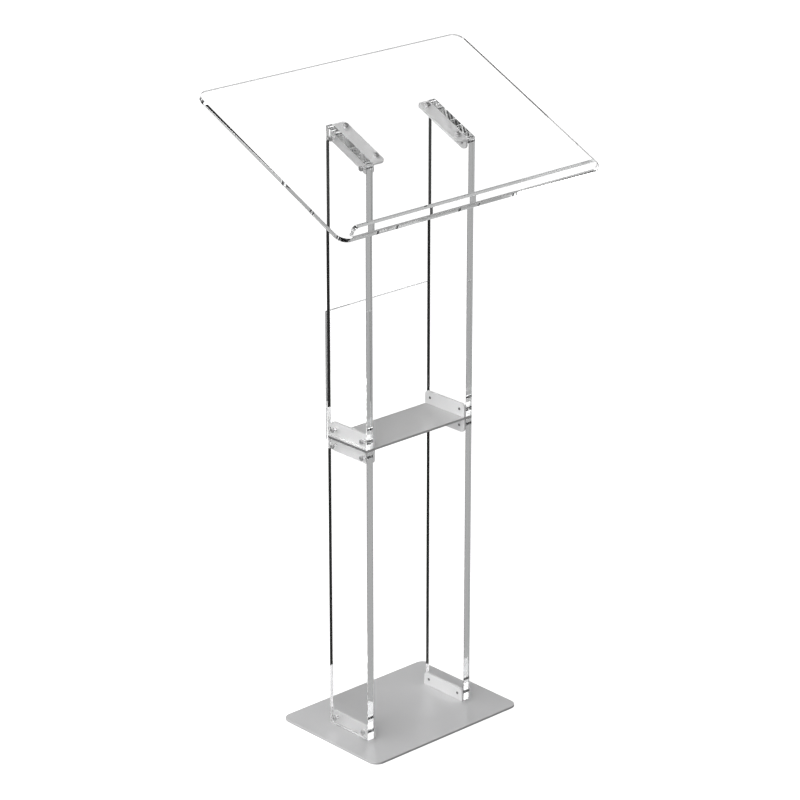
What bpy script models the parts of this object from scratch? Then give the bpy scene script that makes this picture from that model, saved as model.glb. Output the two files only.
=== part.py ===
"""Lectern stand: clear acrylic uprights and sloped reading top on a metal base, with a metal shelf.

Axes: +X to the reader's right, +Y away from the reader, +Z up. The origin is on the floor, under the
middle of the base plate. All lengths are in metres.
"""

import math

import bmesh
import bpy
from mathutils import Euler, Matrix, Vector

OBJECT_NAME = "lectern_stand"

# ---- overall sizes ----
BASE_WIDTH = 0.350
BASE_DEPTH = 0.252
BASE_CORNER_RADIUS = 0.018
METAL_GAUGE = 0.004

STAND_WIDTH = 0.250
PANEL_THICKNESS = 0.015
PANEL_DEPTH = 0.100
SHELF_UNDERSIDE_Z = 0.554

BACK_PANEL_THICKNESS = 0.005
BACK_PANEL_BOTTOM_Z = 0.549
BACK_PANEL_TOP_Z = 0.784

TOP_WIDTH = 0.600
TOP_LENGTH = 0.400
TOP_THICKNESS = 0.008
TOP_CORNER_RADIUS = 0.020
TOP_TILT_DEGREES = 25.3
TOP_FRONT_Y = -0.1885
TOP_FRONT_Z = 1.006

BOOK_REST_HEIGHT = 0.020
BOOK_REST_CORNER_RADIUS = 0.009

# ---- flanges, brackets and screws ----
FLANGE_HEIGHT = 0.025
FLANGE_CORNER_RADIUS = 0.008
BRACKET_LEAF_WIDTH = 0.028
BRACKET_WEB_INSET = 0.0020
SCREW_END_INSET = 0.0125
SCREW_EDGE_INSET = 0.0130

SHANK_RADIUS = 0.0025
SCREW_STICK_OUT = 0.0004
HEAD_RADIUS = 0.00475
HEAD_HEIGHT = 0.00275
SOCKET_RADIUS = 0.00173
SOCKET_DEPTH = 0.0015
SHANK_TIP_CHAMFER = 0.0005

# ---- fits ----
JOINT_GAP = 0.0003
HOLE_CLEARANCE = 0.0003
EDGE_CHAMFER = 0.0004
HOLE_RADIUS = SHANK_RADIUS + HOLE_CLEARANCE

# ---- mesh resolution ----
CORNER_STEPS = 12
HOLE_STEPS = 16
SCREW_STEPS = 18

# ---- derived sizes ----
TILT = math.radians(TOP_TILT_DEGREES)
SHELF_TOP_Z = SHELF_UNDERSIDE_Z + METAL_GAUGE
PANEL_OUTER_X = STAND_WIDTH / 2
PANEL_INNER_X = PANEL_OUTER_X - PANEL_THICKNESS
FLANGE_OUTER_X = PANEL_INNER_X - JOINT_GAP
FLANGE_INNER_X = FLANGE_OUTER_X - METAL_GAUGE
TOP_SCREW_X = FLANGE_INNER_X - (BRACKET_LEAF_WIDTH - METAL_GAUGE) / 2
PANEL_FRONT_Y = -PANEL_DEPTH / 2
PANEL_REAR_Y = PANEL_DEPTH / 2
SCREW_FRONT_Y = PANEL_FRONT_Y + SCREW_END_INSET
SCREW_REAR_Y = PANEL_REAR_Y - SCREW_END_INSET
BASE_SCREW_Z = METAL_GAUGE + SCREW_EDGE_INSET
LOWER_SHELF_SCREW_Z = SHELF_UNDERSIDE_Z - SCREW_EDGE_INSET
UPPER_SHELF_SCREW_Z = SHELF_TOP_Z + SCREW_EDGE_INSET
SCREW_LENGTH = PANEL_THICKNESS + METAL_GAUGE + 2 * JOINT_GAP + SCREW_STICK_OUT
TOP_SCREW_LENGTH = TOP_THICKNESS + METAL_GAUGE + 2 * JOINT_GAP + SCREW_STICK_OUT

SIDES = (("left", -1.0), ("right", 1.0))
ROWS = (("front", SCREW_FRONT_Y), ("rear", SCREW_REAR_Y))


def top_plane_z(y, depth):
    """Height of the plane lying depth below the reading surface, at distance y from the middle."""
    return TOP_FRONT_Z + (y - TOP_FRONT_Y) * math.tan(TILT) - depth / math.cos(TILT)


# ---- scene helpers ----
def clear_scene():
    """Remove every object that is already in the scene."""
    for item in list(bpy.data.objects):
        bpy.data.objects.remove(item, do_unlink=True)


def new_collection(name):
    """Make a collection and hang it on the scene."""
    group = bpy.data.collections.new(name)
    bpy.context.scene.collection.children.link(group)
    return group


def new_material(name, colour, roughness, metallic, transmission=0.0):
    """Make a Principled material."""
    material = bpy.data.materials.new(name)
    material.use_nodes = True
    shader = material.node_tree.nodes["Principled BSDF"]
    shader.inputs["Base Color"].default_value = (*colour, 1.0)
    shader.inputs["Roughness"].default_value = roughness
    shader.inputs["Metallic"].default_value = metallic
    shader.inputs["Transmission Weight"].default_value = transmission
    shader.inputs["IOR"].default_value = 1.49
    return material


# ---- outlines ----
def arc_points(centre, radius, start, end, steps):
    """Points on an arc about centre, from the start angle to the end angle."""
    points = []
    for index in range(steps + 1):
        angle = start + (end - start) * index / steps
        points.append((centre[0] + radius * math.cos(angle), centre[1] + radius * math.sin(angle)))
    return points


def circle_points(centre, radius):
    """Points round a hole."""
    return arc_points(centre, radius, 0.0, math.tau * (1 - 1 / HOLE_STEPS), HOLE_STEPS - 1)


def rounded_outline(corners):
    """Outline with rounded corners; corners is a list of (x, y, radius), anticlockwise."""
    points = []
    count = len(corners)
    for index, (x, y, radius) in enumerate(corners):
        here = Vector((x, y))
        if radius <= 0.0:
            points.append((x, y))
            continue
        before = Vector(corners[index - 1][:2])
        after = Vector(corners[(index + 1) % count][:2])
        to_before = (before - here).normalized()
        to_after = (after - here).normalized()
        half_angle = to_before.angle(to_after) / 2
        centre = here + (to_before + to_after).normalized() * (radius / math.sin(half_angle))
        reach = radius / math.tan(half_angle)
        first = here + to_before * reach - centre
        last = here + to_after * reach - centre
        start = math.atan2(first.y, first.x)
        sweep = (math.atan2(last.y, last.x) - start + math.tau) % math.tau
        points.extend(arc_points(centre, radius, start, start + sweep, CORNER_STEPS))
    return points


def rectangle(width, height, radius):
    """Rounded rectangle about the origin, for rounded_outline."""
    x = width / 2
    y = height / 2
    return [(-x, -y, radius), (x, -y, radius), (x, y, radius), (-x, y, radius)]


def add_spline(curve, points):
    """Add one closed straight-sided loop to a flat curve."""
    spline = curve.splines.new("POLY")
    spline.points.add(len(points) - 1)
    for point, (x, y) in zip(spline.points, points):
        point.co = (x, y, 0.0, 1.0)
    spline.use_cyclic_u = True


def flat_plate(name, outline, holes, thickness, chamfer=EDGE_CHAMFER):
    """Plate cut from flat sheet: outline in its XY plane, thickness centred on it."""
    curve = bpy.data.curves.new(name, "CURVE")
    curve.dimensions = "2D"
    curve.fill_mode = "BOTH"
    curve.extrude = thickness / 2
    add_spline(curve, outline)
    for centre in holes:
        add_spline(curve, circle_points(centre, HOLE_RADIUS))
    plate = bpy.data.objects.new(name, curve)
    weld = plate.modifiers.new("join_caps", "WELD")
    weld.merge_threshold = 0.00001
    if chamfer > 0.0:
        bevel = plate.modifiers.new("edge_chamfer", "BEVEL")
        bevel.width = chamfer
        bevel.segments = 1
        bevel.limit_method = "ANGLE"
        bevel.angle_limit = math.radians(40)
    return plate


# A plate drawn in XY is stood up facing +X by this turn: drawn X becomes Y, drawn Y becomes Z.
SIDE_TURN = Matrix(((0, 0, 1), (1, 0, 0), (0, 1, 0))).to_euler()
# The same for a plate facing -Y: drawn X stays X, drawn Y becomes Z.
FRONT_TURN = Euler((math.radians(90), 0, 0))


def place(item, group, material, location=(0, 0, 0), rotation=None):
    """Position one piece, give it its material and put it in the collection."""
    item.location = location
    if rotation is not None:
        item.rotation_euler = rotation
    item.data.materials.clear()
    item.data.materials.append(material)
    group.objects.link(item)
    return item


# ---- metal pieces ----
def build_base_plate(group, finishes):
    """Flat base plate with rounded corners."""
    outline = rounded_outline(rectangle(BASE_WIDTH, BASE_DEPTH, BASE_CORNER_RADIUS))
    plate = flat_plate("base_plate", outline, [], METAL_GAUGE)
    place(plate, group, finishes["metal"], (0, 0, METAL_GAUGE / 2))


def build_shelf_plate(group, finishes):
    """Shelf plate held between the lower and upper side panels."""
    outline = rounded_outline(rectangle(STAND_WIDTH, PANEL_DEPTH, 0.0))
    plate = flat_plate("shelf_plate", outline, [], METAL_GAUGE)
    place(plate, group, finishes["metal"], (0, 0, SHELF_UNDERSIDE_Z + METAL_GAUGE / 2))


def flange_outline(rounded_low):
    """Flange seen from the side, with its free corners rounded."""
    low = FLANGE_CORNER_RADIUS if rounded_low else 0.0
    high = 0.0 if rounded_low else FLANGE_CORNER_RADIUS
    height = FLANGE_HEIGHT - JOINT_GAP
    return rounded_outline([
        (PANEL_FRONT_Y, 0.0, low),
        (PANEL_REAR_Y, 0.0, low),
        (PANEL_REAR_Y, height, high),
        (PANEL_FRONT_Y, height, high),
    ])


def build_flange(group, finishes, name, side, bottom_z, screw_z, hangs_down):
    """Upright metal plate against the inner face of a side panel, with two screw holes."""
    holes = [(y, screw_z - bottom_z) for _, y in ROWS]
    flange = flat_plate(name, flange_outline(hangs_down), holes, METAL_GAUGE)
    x = side * (FLANGE_OUTER_X + FLANGE_INNER_X) / 2
    place(flange, group, finishes["metal"], (x, 0, bottom_z), SIDE_TURN)


def build_flanges(group, finishes):
    """Flanges on the base plate, and below and above the shelf plate, on each side."""
    for label, side in SIDES:
        build_flange(group, finishes, "base_flange_" + label, side,
                     METAL_GAUGE + JOINT_GAP, BASE_SCREW_Z, False)
        build_flange(group, finishes, "shelf_lower_flange_" + label, side,
                     SHELF_UNDERSIDE_Z - FLANGE_HEIGHT, LOWER_SHELF_SCREW_Z, True)
        build_flange(group, finishes, "shelf_upper_flange_" + label, side,
                     SHELF_TOP_Z + JOINT_GAP, UPPER_SHELF_SCREW_Z, False)


def bracket_screw_z(y):
    """Height of a bracket screw in the side panel."""
    return top_plane_z(y, TOP_THICKNESS + JOINT_GAP) - FLANGE_HEIGHT / 2 - METAL_GAUGE / 2


def solid_mesh(item):
    """Closed mesh of a finished shape in world position; the shape itself is removed."""
    bpy.context.scene.collection.objects.link(item)
    graph = bpy.context.evaluated_depsgraph_get()
    graph.update()
    mesh = bpy.data.meshes.new_from_object(item.evaluated_get(graph))
    mesh.transform(item.matrix_world)
    bpy.data.objects.remove(item, do_unlink=True)
    work = bmesh.new()
    work.from_mesh(mesh)
    bmesh.ops.remove_doubles(work, verts=work.verts, dist=0.00001)
    bmesh.ops.recalc_face_normals(work, faces=work.faces)
    work.to_mesh(mesh)
    work.free()
    return mesh


def bracket_web(side):
    """Upright leaf of a top bracket, following the slope of the reading top."""
    depth = TOP_THICKNESS + JOINT_GAP + METAL_GAUGE * 0.5
    front_y = PANEL_FRONT_Y + BRACKET_WEB_INSET
    rear_y = PANEL_REAR_Y - BRACKET_WEB_INSET
    front = top_plane_z(front_y, depth)
    rear = top_plane_z(rear_y, depth)
    drop = FLANGE_HEIGHT - METAL_GAUGE * 0.5
    outline = rounded_outline([
        (front_y, front - drop, FLANGE_CORNER_RADIUS),
        (rear_y, rear - drop, FLANGE_CORNER_RADIUS),
        (rear_y, rear, 0.0),
        (front_y, front, 0.0),
    ])
    holes = [(y, bracket_screw_z(y)) for _, y in ROWS]
    web = flat_plate("web", outline, holes, METAL_GAUGE, 0.0)
    web.location = (side * (FLANGE_OUTER_X + FLANGE_INNER_X) / 2, 0, 0)
    web.rotation_euler = SIDE_TURN
    return solid_mesh(web)


def bracket_leaf(side):
    """Sloped leaf of a top bracket, under the reading top, with two screw holes."""
    length = PANEL_DEPTH / math.cos(TILT)
    near = FLANGE_OUTER_X
    far = FLANGE_OUTER_X - BRACKET_LEAF_WIDTH
    corners = [
        (far, -length / 2, FLANGE_CORNER_RADIUS),
        (near, -length / 2, 0.0),
        (near, length / 2, 0.0),
        (far, length / 2, FLANGE_CORNER_RADIUS),
    ]
    if side < 0:
        corners = [(-x, y, radius) for x, y, radius in reversed(corners)]
    holes = [(side * TOP_SCREW_X, y / math.cos(TILT)) for _, y in ROWS]
    leaf = flat_plate("leaf", rounded_outline(corners), holes, METAL_GAUGE, 0.0)
    depth = TOP_THICKNESS + JOINT_GAP + METAL_GAUGE / 2
    leaf.location = (0, 0, top_plane_z(0.0, depth))
    leaf.rotation_euler = (TILT, 0, 0)
    return solid_mesh(leaf)


def build_brackets(group, cutters, finishes):
    """Angle brackets that hold the reading top on the upper side panels."""
    for label, side in SIDES:
        name = "top_bracket_" + label
        bracket = bpy.data.objects.new(name, bracket_web(side))
        leaf = bpy.data.objects.new(name + "_leaf", bracket_leaf(side))
        cutters.objects.link(leaf)
        leaf.hide_render = True
        leaf.display_type = "WIRE"
        join = bracket.modifiers.new("bend", "BOOLEAN")
        join.operation = "UNION"
        join.solver = "EXACT"
        join.object = leaf
        place(bracket, group, finishes["metal"])


# ---- acrylic pieces ----
def build_lower_panels(group, finishes):
    """Clear side boards between the base plate and the shelf plate."""
    bottom = METAL_GAUGE + JOINT_GAP
    top = SHELF_UNDERSIDE_Z - JOINT_GAP
    corners = [
        (PANEL_FRONT_Y, bottom, 0.0),
        (PANEL_REAR_Y, bottom, 0.0),
        (PANEL_REAR_Y, top, 0.0),
        (PANEL_FRONT_Y, top, 0.0),
    ]
    holes = [(y, z) for _, y in ROWS for z in (BASE_SCREW_Z, LOWER_SHELF_SCREW_Z)]
    for label, side in SIDES:
        panel = flat_plate("side_panel_lower_" + label, rounded_outline(corners), holes,
                           PANEL_THICKNESS)
        x = side * (PANEL_OUTER_X + PANEL_INNER_X) / 2
        place(panel, group, finishes["acrylic"], (x, 0, 0), SIDE_TURN)


def build_upper_panels(group, finishes):
    """Clear side boards from the shelf plate to the sloped reading top."""
    bottom = SHELF_TOP_Z + JOINT_GAP
    depth = TOP_THICKNESS + JOINT_GAP
    corners = [
        (PANEL_FRONT_Y, bottom, 0.0),
        (PANEL_REAR_Y, bottom, 0.0),
        (PANEL_REAR_Y, top_plane_z(PANEL_REAR_Y, depth), 0.0),
        (PANEL_FRONT_Y, top_plane_z(PANEL_FRONT_Y, depth), 0.0),
    ]
    holes = [(y, UPPER_SHELF_SCREW_Z) for _, y in ROWS]
    holes += [(y, bracket_screw_z(y)) for _, y in ROWS]
    for label, side in SIDES:
        panel = flat_plate("side_panel_upper_" + label, rounded_outline(corners), holes,
                           PANEL_THICKNESS)
        x = side * (PANEL_OUTER_X + PANEL_INNER_X) / 2
        place(panel, group, finishes["acrylic"], (x, 0, 0), SIDE_TURN)


def build_back_panel(group, finishes):
    """Clear board behind the shelf, on the rear edges of the side panels."""
    height = BACK_PANEL_TOP_Z - BACK_PANEL_BOTTOM_Z
    outline = rounded_outline(rectangle(STAND_WIDTH, height, 0.0))
    panel = flat_plate("back_panel", outline, [], BACK_PANEL_THICKNESS)
    y = PANEL_REAR_Y + JOINT_GAP + BACK_PANEL_THICKNESS / 2
    z = (BACK_PANEL_TOP_Z + BACK_PANEL_BOTTOM_Z) / 2
    place(panel, group, finishes["acrylic"], (0, y, z), FRONT_TURN)


def on_top(x, along, above):
    """World position from x, distance along the slope from the front edge, and height above it."""
    y = TOP_FRONT_Y + along * math.cos(TILT) - above * math.sin(TILT)
    z = TOP_FRONT_Z + along * math.sin(TILT) + above * math.cos(TILT)
    return (x, y, z)


def build_reading_top(group, finishes):
    """Sloped clear reading top with rounded corners and four screw holes."""
    outline = rounded_outline(rectangle(TOP_WIDTH, TOP_LENGTH, TOP_CORNER_RADIUS))
    centre_along = TOP_LENGTH / 2
    holes = []
    for _, side in SIDES:
        for _, y in ROWS:
            holes.append((side * TOP_SCREW_X, bracket_screw_along(y) - centre_along))
    top = flat_plate("reading_top", outline, holes, TOP_THICKNESS)
    place(top, group, finishes["acrylic"], on_top(0, centre_along, -TOP_THICKNESS / 2), (TILT, 0, 0))


def bracket_screw_along(y):
    """Distance along the slope, from the front edge, of the screw above row y of a bracket."""
    depth = TOP_THICKNESS + JOINT_GAP + METAL_GAUGE / 2
    middle = (0.0 - TOP_FRONT_Y - depth * math.sin(TILT)) / math.cos(TILT)
    return middle + y / math.cos(TILT)


def build_book_rest(group, finishes):
    """Clear strip on the front edge of the reading top that stops a book sliding off."""
    width = TOP_WIDTH - 2 * TOP_CORNER_RADIUS
    height = BOOK_REST_HEIGHT - JOINT_GAP
    outline = rounded_outline([
        (-width / 2, 0.0, 0.0),
        (width / 2, 0.0, 0.0),
        (width / 2, height, BOOK_REST_CORNER_RADIUS),
        (-width / 2, height, BOOK_REST_CORNER_RADIUS),
    ])
    strip = flat_plate("book_rest", outline, [], TOP_THICKNESS)
    turn = Euler((math.radians(90) + TILT, 0, 0))
    place(strip, group, finishes["acrylic"], on_top(0, TOP_THICKNESS / 2, JOINT_GAP), turn)


# ---- screws ----
def screw_mesh(name, length):
    """Button-head socket screw along -Z from the underside of its head at the origin."""
    profile = [
        (0.0, HEAD_HEIGHT),
        (HEAD_RADIUS * 0.55, HEAD_HEIGHT),
        (HEAD_RADIUS * 0.85, HEAD_HEIGHT * 0.72),
        (HEAD_RADIUS, HEAD_HEIGHT * 0.22),
        (HEAD_RADIUS, 0.0),
        (SHANK_RADIUS, 0.0),
        (SHANK_RADIUS, -length + SHANK_TIP_CHAMFER),
        (SHANK_RADIUS - SHANK_TIP_CHAMFER, -length),
        (0.0, -length),
    ]
    mesh = bpy.data.meshes.new(name)
    points = [(x, 0.0, z) for x, z in profile]
    edges = [(index, index + 1) for index in range(len(points) - 1)]
    mesh.from_pydata(points, edges, [])
    body = bpy.data.objects.new(name, mesh)
    turn = body.modifiers.new("turned", "SCREW")
    turn.axis = "Z"
    turn.steps = SCREW_STEPS
    turn.render_steps = SCREW_STEPS
    turn.use_merge_vertices = True
    turn.merge_threshold = 0.00001
    socket_mesh = bpy.data.meshes.new(name + "_socket")
    work = bmesh.new()
    bmesh.ops.create_cone(work, cap_ends=True, segments=6, radius1=SOCKET_RADIUS,
                          radius2=SOCKET_RADIUS, depth=SOCKET_DEPTH * 2)
    work.to_mesh(socket_mesh)
    work.free()
    socket = bpy.data.objects.new(name + "_socket", socket_mesh)
    socket.location = (0, 0, HEAD_HEIGHT)
    bpy.context.scene.collection.objects.link(socket)
    cut = body.modifiers.new("hex_socket", "BOOLEAN")
    cut.operation = "DIFFERENCE"
    cut.solver = "EXACT"
    cut.object = socket
    result = solid_mesh(body)
    bpy.data.objects.remove(socket, do_unlink=True)
    result.shade_smooth()
    result.set_sharp_from_angle(angle=math.radians(35))
    return result


def add_screw(group, finishes, name, mesh, location, rotation):
    """Place one screw."""
    screw = bpy.data.objects.new(name, mesh)
    place(screw, group, finishes["steel"], location, rotation)


def build_panel_screws(group, finishes):
    """Screws through the side panels into the flanges and top brackets."""
    mesh = screw_mesh("panel_screw", SCREW_LENGTH)
    for label, side in SIDES:
        turn = (0, side * math.radians(90), 0)
        x = side * (PANEL_OUTER_X + JOINT_GAP)
        for row, y in ROWS:
            levels = (
                ("base", BASE_SCREW_Z),
                ("shelf_lower", LOWER_SHELF_SCREW_Z),
                ("shelf_upper", UPPER_SHELF_SCREW_Z),
                ("bracket", bracket_screw_z(y)),
            )
            for level, z in levels:
                name = "_".join(("screw", level, label, row))
                add_screw(group, finishes, name, mesh, (x, y, z), turn)


def build_top_screws(group, finishes):
    """Screws down through the reading top into the top brackets."""
    mesh = screw_mesh("top_screw", TOP_SCREW_LENGTH)
    for label, side in SIDES:
        for row, y in ROWS:
            name = "_".join(("screw_top", label, row))
            location = on_top(side * TOP_SCREW_X, bracket_screw_along(y), JOINT_GAP)
            add_screw(group, finishes, name, mesh, location, (TILT, 0, 0))


def main():
    """Build every piece of the lectern."""
    clear_scene()
    group = new_collection(OBJECT_NAME)
    cutters = new_collection(OBJECT_NAME + "_cutters")
    finishes = {
        "metal": new_material("satin_silver_paint", (0.62, 0.62, 0.63), 0.42, 0.7),
        "acrylic": new_material("clear_acrylic", (0.97, 0.98, 0.98), 0.03, 0.0, 1.0),
        "steel": new_material("bright_steel", (0.70, 0.70, 0.71), 0.25, 1.0),
    }
    build_base_plate(group, finishes)
    build_shelf_plate(group, finishes)
    build_flanges(group, finishes)
    build_lower_panels(group, finishes)
    build_upper_panels(group, finishes)
    build_back_panel(group, finishes)
    build_reading_top(group, finishes)
    build_book_rest(group, finishes)
    build_brackets(group, cutters, finishes)
    build_panel_screws(group, finishes)
    build_top_screws(group, finishes)


main()
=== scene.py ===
"""Looks of a clear lectern: acrylic side boards and sloped top on a satin metal base and shelf.

Axes: +X to the reader's right, +Y away from the reader, +Z up. Lengths are in metres.
"""

import logging
import math
from dataclasses import dataclass, field
from enum import Enum
from typing import Sequence

import bmesh
import bpy
from mathutils import Euler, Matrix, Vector

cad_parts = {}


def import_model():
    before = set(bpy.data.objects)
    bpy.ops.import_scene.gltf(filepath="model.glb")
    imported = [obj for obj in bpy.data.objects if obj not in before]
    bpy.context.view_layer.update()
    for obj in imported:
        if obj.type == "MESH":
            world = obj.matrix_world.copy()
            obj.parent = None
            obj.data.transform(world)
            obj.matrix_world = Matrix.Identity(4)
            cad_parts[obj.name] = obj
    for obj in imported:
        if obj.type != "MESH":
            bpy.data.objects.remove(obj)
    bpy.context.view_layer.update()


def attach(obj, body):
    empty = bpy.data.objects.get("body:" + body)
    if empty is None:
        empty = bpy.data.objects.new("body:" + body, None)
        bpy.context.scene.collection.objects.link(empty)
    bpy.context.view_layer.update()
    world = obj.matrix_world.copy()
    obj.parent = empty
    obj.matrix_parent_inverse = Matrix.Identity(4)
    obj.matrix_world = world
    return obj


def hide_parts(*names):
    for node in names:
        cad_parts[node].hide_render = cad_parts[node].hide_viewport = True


Colour = tuple[float, float, float]
Point = tuple[float, float, float]
Band = tuple[float, float]

LOG = logging.getLogger("lectern")
SIDES = ("left", "right")
TOP_SLOPE = math.radians(25.3)  # how far the reading top tips towards the reader
HEAD_HEIGHT = 0.00275           # of a screw's button head
HALF_STEP = 0.5                 # half of one count, for tests on whole numbers
WHITE: Colour = (1.0, 1.0, 1.0)
ACROSS: Point = (1.0, 0.0, 0.0)


class Facing(Enum):
    """Which way the two broad polished faces of a clear board look."""

    SIDEWAYS = "sideways"
    FORWARD = "forward"
    SLOPED = "sloped"
    LIP = "lip"


# ---------------------------------------------------------------- shader helpers
class Shader:
    """A material, world or node group being wired up."""

    def __init__(self, tree: bpy.types.NodeTree) -> None:
        """Start on an empty node tree.

        Args:
            tree: the node tree to fill.
        """
        self.tree = tree
        tree.nodes.clear()

    def node(self, kind: str, label: str = "", **settings: object) -> bpy.types.Node:
        """Add one node.

        Args:
            kind: Blender's node type name.
            label: what the node does, in plain words.
            settings: properties set on the node.

        Returns:
            The new node.
        """
        made = self.tree.nodes.new(kind)
        made.label = label
        for name, value in settings.items():
            setattr(made, name, value)
        return made

    def link(self, start: bpy.types.NodeSocket, end: bpy.types.NodeSocket) -> None:
        """Join an output socket to an input socket.

        Args:
            start: the output socket.
            end: the input socket.
        """
        self.tree.links.new(start, end)

    def feed(self, value: object, socket: bpy.types.NodeSocket) -> None:
        """Give an input socket its value.

        Args:
            value: a socket to join to it, or a plain value to set on it.
            socket: the input socket.
        """
        if isinstance(value, bpy.types.NodeSocket):
            self.link(value, socket)
        else:
            socket.default_value = value

    def arithmetic(self, kind: str, *values: object, clamp: bool = False) -> bpy.types.NodeSocket:
        """Do one piece of arithmetic.

        Args:
            kind: the Math node's operation.
            values: up to three sockets or numbers, in the operation's order.
            clamp: keep the result between 0 and 1.

        Returns:
            The result's socket.
        """
        math_node = self.node("ShaderNodeMath", operation=kind, use_clamp=clamp)
        for value, socket in zip(values, math_node.inputs):
            self.feed(value, socket)
        return math_node.outputs[0]

    def at_least(self, count: bpy.types.NodeSocket, least: int) -> bpy.types.NodeSocket:
        """Test a whole number.

        Args:
            count: the whole number's socket.
            least: the number it has to reach.

        Returns:
            A socket that is 1 where the number is reached and 0 elsewhere.
        """
        return self.arithmetic("GREATER_THAN", count, least - HALF_STEP)

    def ramp(self, value: bpy.types.NodeSocket, low: float, high: float,
             out_low: float = 0.0, out_high: float = 1.0) -> bpy.types.NodeSocket:
        """Map a value smoothly from one range to another.

        Args:
            value: the socket to map.
            low: start of the input range.
            high: end of the input range.
            out_low: result at low.
            out_high: result at high.

        Returns:
            The mapped value's socket.
        """
        mapped = self.node("ShaderNodeMapRange", interpolation_type="SMOOTHSTEP")
        self.link(value, mapped.inputs["Value"])
        mapped.inputs["From Min"].default_value = low
        mapped.inputs["From Max"].default_value = high
        mapped.inputs["To Min"].default_value = out_low
        mapped.inputs["To Max"].default_value = out_high
        return mapped.outputs["Result"]

    def blend(self, mask: bpy.types.NodeSocket, first: object, second: object) -> bpy.types.NodeSocket:
        """Mix two colours by a mask.

        Args:
            mask: 0 shows the first colour and 1 the second.
            first: a colour socket or an RGB value.
            second: a colour socket or an RGB value.

        Returns:
            The mixed colour's socket.
        """
        mixed = self.node("ShaderNodeMix", data_type="RGBA")
        self.link(mask, mixed.inputs["Factor"])
        for name, value in (("A", first), ("B", second)):
            socket = next(s for s in mixed.inputs if s.name == name and s.type == "RGBA")
            self.feed(value if isinstance(value, bpy.types.NodeSocket) else (*value, 1.0), socket)
        return next(s for s in mixed.outputs if s.type == "RGBA")

    def choose(self, mask: bpy.types.NodeSocket, first: bpy.types.Node,
               second: bpy.types.Node) -> bpy.types.Node:
        """Show one shader or another by a mask.

        Args:
            mask: 0 shows the first shader and 1 the second.
            first: the first shader's node.
            second: the second shader's node.

        Returns:
            The mixing node.
        """
        mixed = self.node("ShaderNodeMixShader")
        self.link(mask, mixed.inputs["Fac"])
        self.link(first.outputs[0], mixed.inputs[1])
        self.link(second.outputs[0], mixed.inputs[2])
        return mixed

    def show(self, surface: bpy.types.Node, kind: str = "ShaderNodeOutputMaterial") -> None:
        """Send a shader to the output.

        Args:
            surface: the shader's node.
            kind: the output's node type name.
        """
        self.link(surface.outputs[0], self.node(kind).inputs["Surface"])


def new_material(name: str) -> tuple[bpy.types.Material, Shader]:
    """Make an empty material.

    Args:
        name: the material's name.

    Returns:
        The material and the shader helper on it.
    """
    material = bpy.data.materials.new(name)
    material.use_nodes = True
    return material, Shader(material.node_tree)


def new_group(name: str, inputs: Sequence[tuple[str, str, object]],
              outputs: Sequence[str]) -> tuple[Shader, bpy.types.Node, bpy.types.Node]:
    """Make a shader node group with named sockets.

    Args:
        name: the group's name.
        inputs: name, socket type and default value of each input.
        outputs: name of each output, which is a number.

    Returns:
        The shader helper on the group, its input node and its output node.
    """
    tree = bpy.data.node_groups.new(name, "ShaderNodeTree")
    for label, kind, value in inputs:
        socket = tree.interface.new_socket(name=label, in_out="INPUT", socket_type=kind)
        socket.default_value = value
    for label in outputs:
        tree.interface.new_socket(name=label, in_out="OUTPUT", socket_type="NodeSocketFloat")
    shader = Shader(tree)
    return shader, shader.node("NodeGroupInput"), shader.node("NodeGroupOutput")


@dataclass(frozen=True)
class SurfaceGrain:
    """Fine grain and broad soft cloudiness, for paint, plating and polished edges."""

    detail: float = 3.0
    roughness: float = 0.65
    cloud_scale: float = 14.0
    cloud_detail: float = 4.0
    cloud_band: Band = (0.35, 0.68)

    def make(self) -> bpy.types.NodeTree:
        """Build the node group.

        Returns:
            The node group.
        """
        shader, given, result = new_group(
            "surface_grain",
            [("Stretch", "NodeSocketVector", (1.0, 1.0, 1.0)),
             ("Fineness", "NodeSocketFloat", 900.0)],
            ["Grain", "Cloud"],
        )
        place = shader.node("ShaderNodeTexCoord")
        stretched = shader.node("ShaderNodeVectorMath", "grain direction", operation="MULTIPLY")
        shader.link(place.outputs["Object"], stretched.inputs[0])
        shader.link(given.outputs["Stretch"], stretched.inputs[1])
        fine = shader.node("ShaderNodeTexNoise", "fine grain")
        fine.inputs["Detail"].default_value = self.detail
        fine.inputs["Roughness"].default_value = self.roughness
        shader.link(stretched.outputs["Vector"], fine.inputs["Vector"])
        shader.link(given.outputs["Fineness"], fine.inputs["Scale"])
        broad = shader.node("ShaderNodeTexNoise", "handling marks")
        broad.inputs["Scale"].default_value = self.cloud_scale
        broad.inputs["Detail"].default_value = self.cloud_detail
        shader.link(place.outputs["Object"], broad.inputs["Vector"])
        shader.link(fine.outputs["Fac"], result.inputs["Grain"])
        shader.link(shader.ramp(broad.outputs["Fac"], *self.cloud_band), result.inputs["Cloud"])
        return shader.tree


@dataclass(frozen=True)
class CutEdge:
    """Mask of a board's narrow cut edges, told apart from its broad faces by their normals."""

    facing_band: Band = (0.55, 0.95)

    def make(self) -> bpy.types.NodeTree:
        """Build the node group.

        Returns:
            The node group.
        """
        shader, given, result = new_group(
            "cut_edge", [("Face Normal", "NodeSocketVector", ACROSS)], ["Edge"])
        place = shader.node("ShaderNodeTexCoord")
        along = shader.node("ShaderNodeVectorMath", "how squarely it faces", operation="DOT_PRODUCT")
        shader.link(place.outputs["Normal"], along.inputs[0])
        shader.link(given.outputs["Face Normal"], along.inputs[1])
        size = shader.arithmetic("ABSOLUTE", along.outputs["Value"])
        shader.link(shader.ramp(size, *self.facing_band, 1.0, 0.0), result.inputs["Edge"])
        return shader.tree


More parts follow.
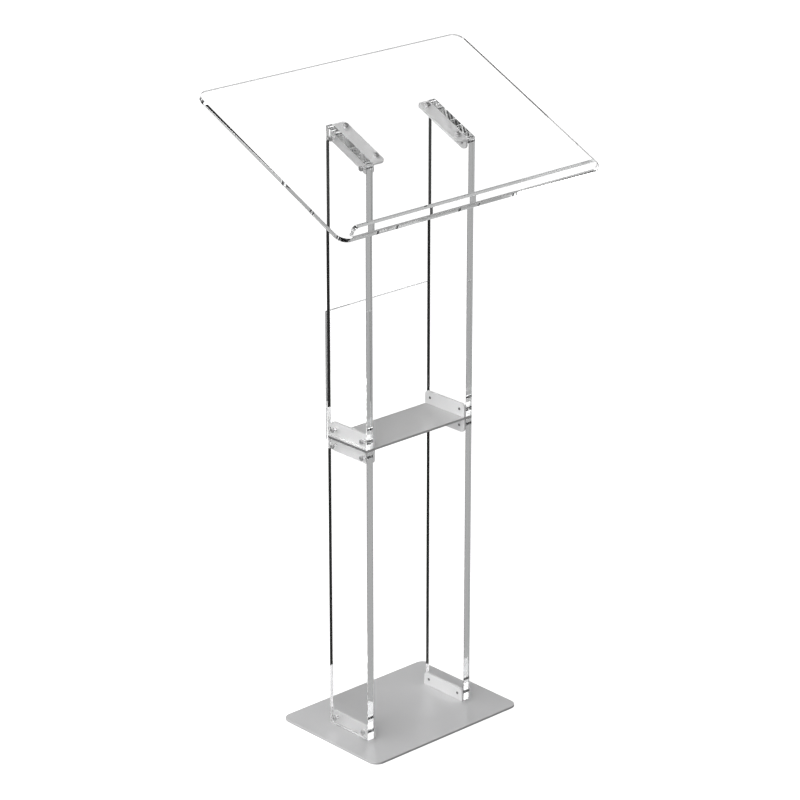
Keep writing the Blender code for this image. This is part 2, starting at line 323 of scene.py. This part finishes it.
@dataclass
class Workshop:
    """The shader groups shared by the finishes."""

    grain_tree: bpy.types.NodeTree = field(default_factory=SurfaceGrain().make)
    edge_tree: bpy.types.NodeTree = field(default_factory=CutEdge().make)

    def grain(self, shader: Shader, label: str, fineness: float) -> bpy.types.Node:
        """Place the grain group in a material.

        Args:
            shader: the material's shader.
            label: what the grain stands for.
            fineness: the grain's scale.

        Returns:
            The group's node.
        """
        placed = shader.node("ShaderNodeGroup", label, node_tree=self.grain_tree)
        placed.inputs["Fineness"].default_value = fineness
        return placed

    def cut_edge(self, shader: Shader, label: str, face_normal: Point) -> bpy.types.NodeSocket:
        """Place the cut edge group in a material.

        Args:
            shader: the material's shader.
            label: what the edge stands for.
            face_normal: direction square to the broad faces.

        Returns:
            The mask, which is 1 on the cut edges.
        """
        placed = shader.node("ShaderNodeGroup", label, node_tree=self.edge_tree)
        placed.inputs["Face Normal"].default_value = face_normal
        return placed.outputs["Edge"]


# ---------------------------------------------------------------- finishes
@dataclass(frozen=True)
class SatinPaint:
    """Satin silver-grey paint with fine metallic flake, a faint orange-peel surface and, where given,
    painted shade on its side ends.
    """

    name: str
    light: Colour
    dark: Colour
    # painted shade: a dark colour for the side ends, standing in for the shade where a plate meets the
    # clear boards
    painted_end_shade: Colour | None = None
    flake: float = 0.50
    flake_spread: float = 0.16
    flake_fineness: float = 1500.0
    flake_share: float = 0.7
    cloud_share: float = 0.3
    roughness: float = 0.42
    roughness_spread: float = 0.06
    peel_fineness: float = 320.0
    peel_strength: float = 0.10
    peel_height: float = 0.0001

    def make(self, workshop: Workshop) -> bpy.types.Material:
        """Build the material.

        Args:
            workshop: the shared shader groups.

        Returns:
            The material.
        """
        material, shader = new_material(self.name)
        grain = workshop.grain(shader, "paint flake", self.flake_fineness)
        peel = workshop.grain(shader, "orange peel", self.peel_fineness)
        body = shader.node("ShaderNodeBsdfPrincipled")
        cloud = shader.arithmetic("MULTIPLY", grain.outputs["Cloud"], self.cloud_share)
        tone = shader.arithmetic("MULTIPLY_ADD", grain.outputs["Grain"], self.flake_share, cloud,
                                 clamp=True)
        colour = shader.blend(tone, self.dark, self.light)
        # painted shade: faces square to X take the dark end colour
        if self.painted_end_shade is not None:
            painted_end_shade = workshop.cut_edge(shader, "shadowed ends", ACROSS)
            colour = shader.blend(painted_end_shade, self.painted_end_shade, colour)
        shader.link(colour, body.inputs["Base Color"])
        metallic = shader.arithmetic("MULTIPLY_ADD", grain.outputs["Grain"], self.flake_spread,
                                     self.flake - self.flake_spread / 2, clamp=True)
        shader.link(metallic, body.inputs["Metallic"])
        rough = shader.arithmetic("MULTIPLY_ADD", grain.outputs["Cloud"], self.roughness_spread,
                                  self.roughness - self.roughness_spread / 2)
        shader.link(rough, body.inputs["Roughness"])
        bump = shader.node("ShaderNodeBump", "paint relief")
        bump.inputs["Strength"].default_value = self.peel_strength
        bump.inputs["Distance"].default_value = self.peel_height
        shader.link(peel.outputs["Grain"], bump.inputs["Height"])
        shader.link(bump.outputs["Normal"], body.inputs["Normal"])
        shader.show(body)
        return material


@dataclass(frozen=True)
class ClearAcrylic:
    """Clear polished acrylic sheet whose cut edges are a little darker than its faces."""

    name: str
    face_normal: Point
    face: Colour = WHITE
    edge: Colour = (0.97, 0.98, 0.98)
    gloss: Colour = (0.25, 0.25, 0.25)
    refraction: float = 1.49
    marks_fineness: float = 260.0
    marks_roughness: float = 0.002
    haze_roughness: float = 0.0015

    def make(self, workshop: Workshop) -> bpy.types.Material:
        """Build the material.

        Args:
            workshop: the shared shader groups.

        Returns:
            The material.
        """
        material, shader = new_material(self.name)
        edge = workshop.cut_edge(shader, "cut edges", self.face_normal)
        grain = workshop.grain(shader, "polishing marks", self.marks_fineness)
        body = shader.node("ShaderNodeBsdfPrincipled")
        body.inputs["IOR"].default_value = self.refraction
        body.inputs["Transmission Weight"].default_value = 1.0
        body.inputs["Metallic"].default_value = 0.0
        body.inputs["Specular Tint"].default_value = (*self.gloss, 1.0)
        shader.link(shader.blend(edge, self.face, self.edge), body.inputs["Base Color"])
        marks = shader.arithmetic(
            "MULTIPLY", edge,
            shader.arithmetic("MULTIPLY", grain.outputs["Grain"], self.marks_roughness))
        rough = shader.arithmetic("MULTIPLY_ADD", grain.outputs["Cloud"], self.haze_roughness, marks)
        shader.link(rough, body.inputs["Roughness"])
        shader.show(body)
        return material


@dataclass(frozen=True)
class ScrewSteel:
    """Plated steel of the screws, bright on the heads, with painted shade on the threaded shank below
    the head.
    """

    name: str = "bright_screw_steel"
    light: Colour = (0.45, 0.45, 0.45)
    dark: Colour = (0.31, 0.31, 0.315)
    # painted shade: the dark colour of the threaded shank, which sits in the holes
    thread: Colour = (0.17, 0.17, 0.175)
    painted_shade_band: Band = (-0.0010, -0.0002)
    grain_fineness: float = 2200.0
    roughness: float = 0.34
    roughness_spread: float = 0.12
    metallic: float = 0.6

    def make(self, workshop: Workshop) -> bpy.types.Material:
        """Build the material.

        Args:
            workshop: the shared shader groups.

        Returns:
            The material.
        """
        material, shader = new_material(self.name)
        grain = workshop.grain(shader, "plating grain", self.grain_fineness)
        body = shader.node("ShaderNodeBsdfPrincipled")
        body.inputs["Metallic"].default_value = self.metallic
        plating = shader.blend(grain.outputs["Grain"], self.dark, self.light)
        place = shader.node("ShaderNodeTexCoord")
        height = shader.node("ShaderNodeSeparateXYZ", "height under the head")
        shader.link(place.outputs["Object"], height.inputs["Vector"])
        # painted shade: below the head the colour turns to the dark shank colour
        head = shader.ramp(height.outputs["Z"], *self.painted_shade_band)
        shader.link(shader.blend(head, self.thread, plating), body.inputs["Base Color"])
        rough = shader.arithmetic("MULTIPLY_ADD", grain.outputs["Cloud"], self.roughness_spread,
                                  self.roughness)
        shader.link(rough, body.inputs["Roughness"])
        shader.show(body)
        return material


@dataclass(frozen=True)
class StudioFloor:
    """Pale floor that clear pieces show as bright straight through and leave dark in their edges."""

    name: str = "pale_floor"
    colour: Colour = (0.40, 0.40, 0.40)
    glow: float = 0.88
    roughness: float = 0.9

    def make(self) -> bpy.types.Material:
        """Build the material.

        Returns:
            The material.
        """
        material, shader = new_material(self.name)
        body = shader.node("ShaderNodeBsdfPrincipled")
        body.inputs["Base Color"].default_value = (*self.colour, 1.0)
        body.inputs["Roughness"].default_value = self.roughness
        body.inputs["Specular IOR Level"].default_value = 0.0
        body.inputs["Emission Color"].default_value = (*WHITE, 1.0)
        body.inputs["Emission Strength"].default_value = self.glow
        path = shader.node("ShaderNodeLightPath")
        turns = shader.arithmetic("SUBTRACT", path.outputs["Ray Depth"],
                                  path.outputs["Transmission Depth"])
        gone = shader.node("ShaderNodeBsdfTransparent")
        shader.show(shader.choose(shader.at_least(turns, 1), body, gone))
        return material


# ---------------------------------------------------------------- pieces
def dress(name: str, material: bpy.types.Material) -> None:
    """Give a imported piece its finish.

    Args:
        name: the piece's node name.
        material: the finish.
    """
    item = bpy.data.objects[name]
    item.data.materials.clear()
    item.data.materials.append(material)
    LOG.info("dressed %s in %s", name, material.name)


def both_sides(*stems: str) -> tuple[str, ...]:
    """Name the left and the right piece of each pair.

    Args:
        stems: the pairs' names without their side.

    Returns:
        The node names.
    """
    return tuple(f"{stem}_{side}" for stem in stems for side in SIDES)


def add_object(name: str, data: bpy.types.ID) -> bpy.types.Object:
    """Put a new object in the scene.

    Args:
        name: the object's name.
        data: its mesh or camera.

    Returns:
        The object.
    """
    made = bpy.data.objects.new(name, data)
    bpy.context.scene.collection.objects.link(made)
    return made


def finished_mesh(work: bmesh.types.BMesh, name: str, material: bpy.types.Material) -> bpy.types.Mesh:
    """Turn a mesh under construction into a dressed one.

    Args:
        work: the mesh under construction, which is freed.
        name: the mesh's name.
        material: its finish.

    Returns:
        The mesh.
    """
    mesh = bpy.data.meshes.new(name)
    work.to_mesh(mesh)
    work.free()
    mesh.materials.append(material)
    return mesh


@dataclass
class MetalWork:
    """Base plate, shelf plate, flanges and top brackets in one silver paint, given as lit and shaded
    copies with painted light.
    """

    painted: tuple[tuple[SatinPaint, tuple[str, ...]], ...] = (
        # lit and shaded copies of one silver paint: each colour is made lighter or darker for the
        # light its pieces get, lightest on the shelf flanges and top brackets
        (SatinPaint("base_plate_silver_painted_light", (0.66, 0.66, 0.665), (0.60, 0.60, 0.605)),
         ("base_plate",)),
        (SatinPaint("shelf_plate_silver_painted_light", (0.74, 0.74, 0.74), (0.68, 0.68, 0.68),
                    # painted shade on the shelf plate's side ends, against the clear boards
                    painted_end_shade=(0.16, 0.16, 0.165)),
         ("shelf_plate",)),
        (SatinPaint("base_flange_silver_painted_light", (0.70, 0.70, 0.70), (0.63, 0.63, 0.635),
                    flake=0.12, roughness=0.5),
         both_sides("base_flange")),
        (SatinPaint("shelf_flange_silver_painted_light", (0.91, 0.91, 0.91), (0.85, 0.85, 0.855),
                    flake=0.10, roughness=0.5),
         both_sides("shelf_lower_flange", "shelf_upper_flange", "top_bracket")),
    )

    def finish(self, workshop: Workshop) -> None:
        """Dress every metal piece.

        Args:
            workshop: the shared shader groups.
        """
        for paint, names in self.painted:
            made = paint.make(workshop)
            for name in names:
                dress(name, made)


@dataclass
class ClearWork:
    """Every clear acrylic board, strip and sheet."""

    slope: float = TOP_SLOPE
    boards: tuple[tuple[Facing, tuple[str, ...]], ...] = (
        (Facing.SIDEWAYS, both_sides("side_panel_lower", "side_panel_upper")),
        (Facing.FORWARD, ("back_panel",)),
        (Facing.SLOPED, ("reading_top",)),
        (Facing.LIP, ("book_rest",)),
    )

    def face_normal(self, facing: Facing) -> Point:
        """Direction square to a board's broad faces.

        Args:
            facing: which way the board looks.

        Returns:
            The direction, as a unit vector.
        """
        return {
            Facing.SIDEWAYS: ACROSS,
            Facing.FORWARD: (0.0, 1.0, 0.0),
            Facing.SLOPED: (0.0, -math.sin(self.slope), math.cos(self.slope)),
            Facing.LIP: (0.0, math.cos(self.slope), math.sin(self.slope)),
        }[facing]

    def finish(self, workshop: Workshop) -> None:
        """Dress every clear piece.

        Args:
            workshop: the shared shader groups.
        """
        for facing, names in self.boards:
            acrylic = ClearAcrylic(f"clear_acrylic_{facing.value}", self.face_normal(facing))
            made = acrylic.make(workshop)
            for name in names:
                dress(name, made)


@dataclass
class ButtonScrew:
    """Socket button-head screw with a rolled thread, built along -Z from under its head."""

    length: float
    name: str
    head_radius: float = 0.00475
    head_height: float = HEAD_HEIGHT
    crown_share: float = 0.62
    brim_share: float = 0.14
    dome_power: float = 0.9
    dome_steps: int = 6
    brim_chamfer: float = 0.0001
    socket_width: float = 0.0030
    socket_depth: float = 0.0016
    socket_flare: float = 0.00018
    socket_flare_depth: float = 0.00015
    major_radius: float = 0.0025
    minor_radius: float = 0.00205
    neck: float = 0.0002
    tip_share: float = 0.85
    pitch: float = 0.0008
    rings_a_turn: int = 4
    flank_slope: float = 1.3
    run_in: float = 0.0008
    run_out_turns: float = 1.2
    segments: int = 24
    sharp_degrees: float = 38.0

    def ring(self, work: bmesh.types.BMesh, radius: float, height: float,
             hexed: bool = False, threaded: bool = False) -> list[bmesh.types.BMVert]:
        """Add one ring of points round the screw's axis.

        Args:
            work: the mesh being built.
            radius: the ring's radius, or the crest's where it is threaded.
            height: the ring's height.
            hexed: follow a hexagon whose flats are radius from the axis.
            threaded: follow the thread.

        Returns:
            The ring's points.
        """
        points = []
        for index in range(self.segments):
            angle = math.tau * index / self.segments
            reach = radius
            if hexed:
                reach = radius / math.cos((angle + math.pi / 6) % (math.pi / 3) - math.pi / 6)
            if threaded:
                turn = (height / self.pitch + index / self.segments) % 1.0
                crest = min(1.0, (1.0 - abs(2.0 * turn - 1.0)) * self.flank_slope)
                reach = self.minor_radius + (radius - self.minor_radius) * crest
            points.append(work.verts.new((reach * math.cos(angle), reach * math.sin(angle), height)))
        return points

    def bridge(self, work: bmesh.types.BMesh, upper: Sequence[bmesh.types.BMVert],
               lower: Sequence[bmesh.types.BMVert]) -> None:
        """Join two rings with a band of faces.

        Args:
            work: the mesh being built.
            upper: the points of one ring.
            lower: the points of the next ring.
        """
        count = len(upper)
        for index in range(count):
            after = (index + 1) % count
            work.faces.new((upper[index], lower[index], lower[after], upper[after]))

    def head_rings(self, work: bmesh.types.BMesh) -> list[list[bmesh.types.BMVert]]:
        """Add the rings of the hexagon socket and the rounded head.

        Args:
            work: the mesh being built.

        Returns:
            The rings, from the socket's floor out and down to the neck.
        """
        flat = self.socket_width / 2
        top = self.head_height
        rings = [
            self.ring(work, flat, top - self.socket_depth, hexed=True),
            self.ring(work, flat, top - self.socket_flare_depth, hexed=True),
            self.ring(work, flat + self.socket_flare, top, hexed=True),
            self.ring(work, self.head_radius * self.crown_share, top),
        ]
        for index in range(1, self.dome_steps + 1):
            angle = math.pi / 2 * index / self.dome_steps
            spread = self.crown_share + (1.0 - self.crown_share) * math.sin(angle)
            rise = math.cos(angle) ** self.dome_power if index < self.dome_steps else 0.0
            lift = self.brim_share + (1.0 - self.brim_share) * rise
            rings.append(self.ring(work, self.head_radius * spread, top * lift))
        rings.append(self.ring(work, self.head_radius - self.brim_chamfer, 0.0))
        rings.append(self.ring(work, self.minor_radius + self.neck, 0.0))
        return rings

    def thread_rings(self, work: bmesh.types.BMesh) -> list[list[bmesh.types.BMVert]]:
        """Add the rings of the thread, which fades in under the head and out at the tip.

        Args:
            work: the mesh being built.

        Returns:
            The rings, from the neck down to the tip.
        """
        rings = []
        rows = int(self.length / self.pitch * self.rings_a_turn)
        for index in range(1, rows):
            height = -self.length * index / rows
            fade = min(1.0, (self.length + height) / (self.pitch * self.run_out_turns),
                       -height / self.run_in)
            crest = self.minor_radius + (self.major_radius - self.minor_radius) * fade
            rings.append(self.ring(work, crest, height, threaded=True))
        rings.append(self.ring(work, self.minor_radius * self.tip_share, -self.length))
        return rings

    def make(self, steel: bpy.types.Material) -> bpy.types.Mesh:
        """Build the screw's mesh.

        Args:
            steel: the screw's finish.

        Returns:
            The mesh.
        """
        work = bmesh.new()
        rings = self.head_rings(work) + self.thread_rings(work)
        for upper, lower in zip(rings, rings[1:]):
            self.bridge(work, upper, lower)
        work.faces.new(rings[0])
        work.faces.new(list(reversed(rings[-1])))
        bmesh.ops.recalc_face_normals(work, faces=work.faces)
        mesh = finished_mesh(work, self.name, steel)
        mesh.shade_smooth()
        mesh.set_sharp_from_angle(angle=math.radians(self.sharp_degrees))
        return mesh


@dataclass
class Fasteners:
    """Screws through the side boards and down through the reading top."""

    slope: float = TOP_SLOPE
    head_height: float = HEAD_HEIGHT
    crown_slack: float = 1e-5
    steps_a_metre: float = 1e5
    levels: tuple[str, ...] = ("base", "shelf_lower", "shelf_upper", "bracket")
    meshes: dict[int, bpy.types.Mesh] = field(default_factory=dict)

    def seat(self, name: str, axis: Vector) -> tuple[Vector, float]:
        """Find where a packed screw's head sits.

        Args:
            name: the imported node's name.
            axis: the way its head looks, as a unit vector.

        Returns:
            The point on the screw's axis under its head, and the length below that point.
        """
        points = [vertex.co for vertex in bpy.data.objects[name].data.vertices]
        heights = [point.dot(axis) for point in points]
        top = max(heights)
        crown = [point for point, height in zip(points, heights) if top - height < self.crown_slack]
        middle = sum(crown, Vector()) / len(crown)
        return middle - axis * self.head_height, top - min(heights) - self.head_height

    def place(self, name: str, turn: Euler, steel: bpy.types.Material) -> None:
        """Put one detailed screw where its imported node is.

        Args:
            name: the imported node's name.
            turn: the screw's rotation.
            steel: the screw's finish.
        """
        seat, length = self.seat(name, turn.to_matrix() @ Vector((0.0, 0.0, 1.0)))
        size = round(length * self.steps_a_metre)
        if size not in self.meshes:
            self.meshes[size] = ButtonScrew(size / self.steps_a_metre, f"screw_{size}").make(steel)
        screw = add_object(name + "_threaded", self.meshes[size])
        screw.location = seat
        screw.rotation_euler = turn
        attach(screw, "root")
        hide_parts(name)
        LOG.info("built %s", screw.name)

    def build(self, workshop: Workshop) -> None:
        """Build every screw.

        Args:
            workshop: the shared shader groups.
        """
        steel = ScrewSteel().make(workshop)
        along_slope = Euler((self.slope, 0.0, 0.0))
        for side, sign in zip(SIDES, (-1.0, 1.0)):
            outward = Euler((0.0, sign * math.pi / 2, 0.0))
            for row in ("front", "rear"):
                for level in self.levels:
                    self.place(f"screw_{level}_{side}_{row}", outward, steel)
                self.place(f"screw_top_{side}_{row}", along_slope, steel)


# ---------------------------------------------------------------- studio
@dataclass(frozen=True)
class SoftBox:
    """Round soft light: rim and core are cosines of the angles where it starts and is full."""

    label: str
    toward: Point
    rim: float
    core: float
    brightness: float


@dataclass(frozen=True)
class Card:
    """Upright card beside the stand, shown only by polished edges: white fills, black outlines."""

    label: str
    middle: Point
    width: float
    height: float
    glow: float
    mirrors: int
    heading_degrees: float = 43.0

    def make_material(self) -> bpy.types.Material:
        """Build the card's material, clear to every ray that has met too few mirrors.

        Returns:
            The material.
        """
        material, shader = new_material(self.label)
        path = shader.node("ShaderNodeLightPath")
        shows = shader.arithmetic(
            "MULTIPLY",
            shader.at_least(path.outputs["Glossy Depth"], self.mirrors),
            shader.at_least(path.outputs["Transmission Depth"], 1))
        surface = shader.node("ShaderNodeEmission")
        surface.inputs["Strength"].default_value = self.glow
        clear = shader.node("ShaderNodeBsdfTransparent")
        shader.show(shader.choose(shows, clear, surface))
        material.cycles.emission_sampling = "NONE"
        return material

    def build(self) -> None:
        """Stand the card up."""
        work = bmesh.new()
        bmesh.ops.create_grid(work, x_segments=1, y_segments=1, size=0.5)
        bmesh.ops.scale(work, vec=(self.width, self.height, 1.0), verts=work.verts)
        card = add_object(self.label, finished_mesh(work, self.label, self.make_material()))
        card.location = self.middle
        card.rotation_euler = (math.pi / 2, 0.0, math.radians(self.heading_degrees))
        LOG.info("stood up %s", self.label)


@dataclass
class Camera:
    """The camera, beside the reader's left shoulder and looking a little down."""

    place: Point = (-3.4129, -3.6870, 2.5223)
    heading_degrees: float = -42.78
    down_degrees: float = 20.891
    lens_mm: float = 139.08
    sensor_mm: float = 36.0
    nearest: float = 0.1
    farthest: float = 100.0

    def build(self) -> None:
        """Set up the camera."""
        data = bpy.data.cameras.new("camera")
        data.lens = self.lens_mm
        data.sensor_width = self.sensor_mm
        data.clip_start = self.nearest
        data.clip_end = self.farthest
        camera = add_object("camera", data)
        camera.location = self.place
        camera.rotation_euler = (math.radians(90 - self.down_degrees), 0.0,
                                 math.radians(self.heading_degrees))
        bpy.context.scene.camera = camera


@dataclass
class Surroundings:
    """White all round to the eye, and soft boxes before dark walls to every reflection.

    The bands are parts of the unit direction looked in, where each brightness fades in or out.
    """

    white: float = 1.20
    rear_band: Band = (-0.02, 0.30)
    low_band: Band = (-0.20, 0.15)
    rear_low: float = 0.53
    rear_high: float = 0.75
    ceiling_band: Band = (0.46, 0.72)
    ceiling: float = 0.72
    below_band: Band = (-0.72, -0.50)
    below: float = 0.68
    dimmest: float = 0.012
    veil_lift: float = 0.38
    veil_walls: int = 4
    soft_boxes: tuple[SoftBox, ...] = (
        SoftBox("overhead left", (-0.62, 0.10, 0.78), 0.75, 0.93, 2.2),
        SoftBox("rear left", (-0.60, 0.60, 0.53), 0.65, 0.95, 0.55),
        SoftBox("beside the reader", (-0.50, -0.68, 0.53), 0.60, 0.90, 1.3),
        SoftBox("left side", (-0.97, -0.08, 0.22), 0.60, 0.90, 0.72),
    )

    def studio_light(self, shader: Shader) -> bpy.types.NodeSocket:
        """Shade the walls, the ceiling and the soft boxes.

        Args:
            shader: the world's shader.

        Returns:
            The brightness in the direction looked in.
        """
        place = shader.node("ShaderNodeTexCoord")
        split = shader.node("ShaderNodeSeparateXYZ")
        shader.link(place.outputs["Generated"], split.inputs["Vector"])
        rear = shader.ramp(split.outputs["Y"], *self.rear_band)
        low = shader.ramp(split.outputs["Z"], *self.low_band, self.rear_low, self.rear_high)
        ceiling = shader.ramp(split.outputs["Z"], *self.ceiling_band, 1.0, self.ceiling)
        below = shader.ramp(split.outputs["Z"], *self.below_band, self.below, 0.0)
        total = shader.arithmetic("MULTIPLY_ADD", shader.arithmetic("MULTIPLY", rear, low), ceiling,
                                  shader.arithmetic("ADD", below, self.dimmest))
        for box in self.soft_boxes:
            toward = shader.node("ShaderNodeVectorMath", box.label, operation="DOT_PRODUCT")
            shader.link(place.outputs["Generated"], toward.inputs[0])
            toward.inputs[1].default_value = Vector(box.toward).normalized()
            light = shader.ramp(toward.outputs["Value"], box.rim, box.core, 0.0, box.brightness)
            total = shader.arithmetic("ADD", total, light)
        return total

    def build(self) -> None:
        """Make the world.

        Its Ray Depth counts the step out to the world, so it is one more than on a surface.
        """
        world = bpy.data.worlds.new("studio")
        bpy.context.scene.world = world
        world.use_nodes = True
        shader = Shader(world.node_tree)
        total = self.studio_light(shader)
        path = shader.node("ShaderNodeLightPath")
        walls = path.outputs["Transmission Depth"]
        turns = shader.arithmetic("SUBTRACT", path.outputs["Ray Depth"], walls)
        scattered = shader.at_least(
            shader.arithmetic("SUBTRACT", turns, path.outputs["Glossy Depth"]), 2)
        veiled = shader.arithmetic("MULTIPLY", scattered, shader.at_least(walls, self.veil_walls))
        lift = shader.arithmetic("MULTIPLY_ADD", veiled, self.veil_lift, 1.0)
        total = shader.arithmetic("MULTIPLY", total, lift)
        unturned = shader.arithmetic("LESS_THAN", turns, 2 - HALF_STEP)
        clear = shader.arithmetic("MULTIPLY", unturned, shader.at_least(walls, 1))
        straight = shader.arithmetic("MAXIMUM", path.outputs["Is Camera Ray"], clear)
        strength = shader.node("ShaderNodeMix", data_type="FLOAT")
        shader.link(straight, strength.inputs["Factor"])
        shader.link(total, strength.inputs[2])
        strength.inputs[3].default_value = self.white
        light = shader.node("ShaderNodeBackground")
        shader.link(strength.outputs[0], light.inputs["Strength"])
        shader.show(light, "ShaderNodeOutputWorld")


@dataclass
class Studio:
    """Camera, pale floor, surroundings and the two cards."""

    floor_reach: float = 30.0
    floor_drop: float = 0.0005
    bounces: int = 64
    cards: tuple[Card, ...] = (
        Card("white_fill_card", (1.364, -1.462, 1.08), 2.0, 0.96, 3.0, 2),
        Card("black_outline_card", (-0.416, 0.979, 0.60), 0.472, 0.80, 0.05, 1),
    )

    def add_floor(self) -> None:
        """Lay the pale floor."""
        work = bmesh.new()
        bmesh.ops.create_grid(work, x_segments=4, y_segments=4, size=self.floor_reach)
        floor = add_object("floor", finished_mesh(work, "floor", StudioFloor().make()))
        floor.location = (0.0, 0.0, -self.floor_drop)

    def build(self) -> None:
        """Set up the whole studio."""
        Camera().build()
        self.add_floor()
        Surroundings().build()
        for card in self.cards:
            card.build()
        bpy.context.scene.view_settings.view_transform = "Standard"
        cycles = bpy.context.scene.cycles
        cycles.max_bounces = self.bounces
        cycles.transmission_bounces = self.bounces
        cycles.glossy_bounces = self.bounces
        LOG.info("studio ready")


def main() -> None:
    """Build the looks of the lectern."""
    logging.basicConfig(level=logging.INFO, format="%(name)s: %(message)s")
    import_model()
    workshop = Workshop()
    MetalWork().finish(workshop)
    ClearWork().finish(workshop)
    Fasteners().build(workshop)
    Studio().build()


if __name__ == "__main__":
    main()
